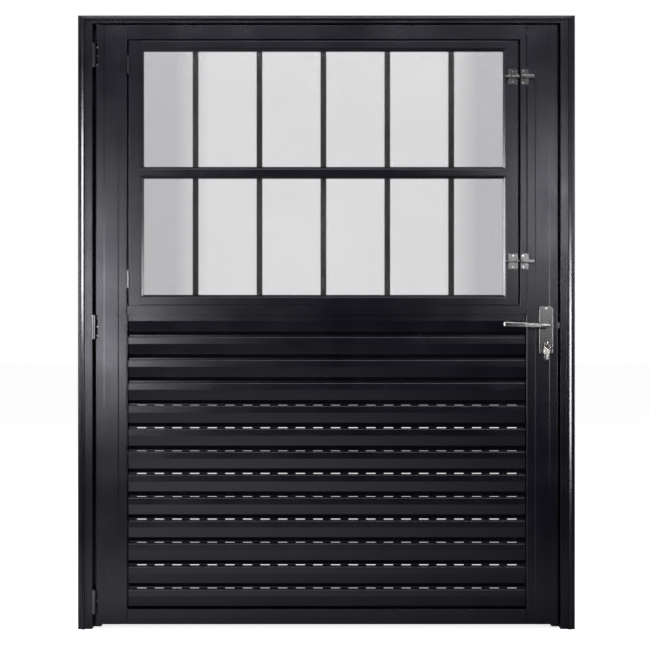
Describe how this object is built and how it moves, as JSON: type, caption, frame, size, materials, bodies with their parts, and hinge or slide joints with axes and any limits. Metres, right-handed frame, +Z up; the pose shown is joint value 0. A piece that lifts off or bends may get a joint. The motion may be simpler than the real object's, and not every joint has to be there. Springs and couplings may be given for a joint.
{
  "type": "door",
  "caption": "Framed door leaf with a louvred lower half, a glazed side-hung vent casement above, a lever lock and barrel hinges.",
  "frame": {"origin": "on the floor, at the middle of the width and of the leaf's thickness", "axes": "+X to the right seen from the room side, +Y away from the room side, +Z up"},
  "size_m": [1.7, 0.1502, 2.1],
  "materials": {
    "black_paint": "satin powder coat on aluminium",
    "frosted_glass": "textured, frosted",
    "brush_pile": "short dense pile",
    "hinge_steel": "satin black",
    "satin_steel": "satin brushed",
    "zinc_steel": "zinc plated",
    "nickel": "bright nickel"
  },
  "bodies": {
    "frame": {"jamb_hinge_side": "black_paint", "jamb_lock_side": "black_paint", "head_jamb": "black_paint", "casing_left": "black_paint", "casing_right": "black_paint", "casing_top": "black_paint", "brush_seals": "brush_pile", "strike_plate": "satin_steel", "frame_screws": "zinc_steel", "hinge_top_frame_leaf": "hinge_steel", "hinge_middle_frame_leaf": "hinge_steel", "hinge_bottom_frame_leaf": "hinge_steel", "hinge_pins": "hinge_steel"},
    "leaf": {"stile_hinge_side": "black_paint", "stile_lock_side": "black_paint", "rail_top": "black_paint", "rail_middle": "black_paint", "rail_bottom": "black_paint", "closing_strip": "black_paint", "plain_slats": "black_paint", "vented_slats": "black_paint", "grille_bars": "black_paint", "hinge_top_door_leaf": "hinge_steel", "hinge_middle_door_leaf": "hinge_steel", "hinge_bottom_door_leaf": "hinge_steel", "vent_hinge_upper_door_leaf": "hinge_steel", "vent_hinge_lower_door_leaf": "hinge_steel", "vent_hinge_pins": "hinge_steel", "keeper_upper": "satin_steel", "keeper_lower": "satin_steel", "escutcheon_inside": "satin_steel", "escutcheon_outside": "satin_steel", "lock_case": "zinc_steel", "lock_faceplate": "satin_steel", "cylinder_body": "nickel", "leaf_screws": "zinc_steel"},
    "vent": {"vent_stile_hinge_side": "black_paint", "vent_stile_bolt_side": "black_paint", "vent_rail_top": "black_paint", "vent_rail_middle": "black_paint", "vent_rail_bottom": "black_paint", "glass_upper": "frosted_glass", "glass_lower": "frosted_glass", "glazing_beads": "black_paint", "vent_hinge_upper_vent_leaf": "hinge_steel", "vent_hinge_lower_vent_leaf": "hinge_steel", "bolt_guide_upper": "satin_steel", "bolt_guide_lower": "satin_steel", "vent_screws": "zinc_steel"},
    "bolt_upper": {"bolt_rod_upper": "satin_steel"},
    "bolt_lower": {"bolt_rod_lower": "satin_steel"},
    "lever": {"lever_inside": "satin_steel", "lever_outside": "satin_steel", "spindle": "zinc_steel"},
    "latch": {"latch_bolt": "satin_steel"},
    "dead_bolt_body": {"dead_bolt": "satin_steel"},
    "key_set": {"cylinder_plug": "nickel", "key": "nickel", "key_ring": "nickel", "spare_key": "nickel"}
  },
  "joints": [
    {"name": "leaf_swing", "type": "hinge", "parent": "frame", "child": "leaf", "pos_m": [-0.7965, -0.0246, 0], "axis": [0, 0, -1], "range_deg": [0, 110]},
    {"name": "vent_swing", "type": "hinge", "parent": "leaf", "child": "vent", "pos_m": [-0.679, -0.0226, 0], "axis": [0, 0, -1], "range_deg": [0, 100]},
    {"name": "bolt_upper_slide", "type": "slide", "parent": "vent", "child": "bolt_upper", "axis": [1, 0, 0], "range_m": [0, 0.015]},
    {"name": "bolt_lower_slide", "type": "slide", "parent": "vent", "child": "bolt_lower", "axis": [1, 0, 0], "range_m": [0, 0.015]},
    {"name": "lever_turn", "type": "hinge", "parent": "leaf", "child": "lever", "pos_m": [0.7513, 0, 1.039], "axis": [0, -1, 0], "range_deg": [0, 45], "stiffness_Nm_per_rad": 0.8, "springref_deg": -57.3},
    {"name": "latch_slide", "type": "slide", "parent": "leaf", "child": "latch", "axis": [-1, 0, 0], "range_m": [0, 0.0066]},
    {"name": "key_turn", "type": "hinge", "parent": "leaf", "child": "key_set", "pos_m": [0.7513, 0, 0.9775], "axis": [0, 1, 0], "range_deg": [0, 360]},
    {"name": "dead_bolt_slide", "type": "slide", "parent": "leaf", "child": "dead_bolt_body", "axis": [1, 0, 0], "range_m": [0, 0.0201]}
  ],
  "couplings": [
    {"joint": "latch_slide", "follows": "lever_turn", "m_per_rad": 0.00828},
    {"joint": "dead_bolt_slide", "follows": "key_turn", "m_per_rad": 0.0031831}
  ]
}
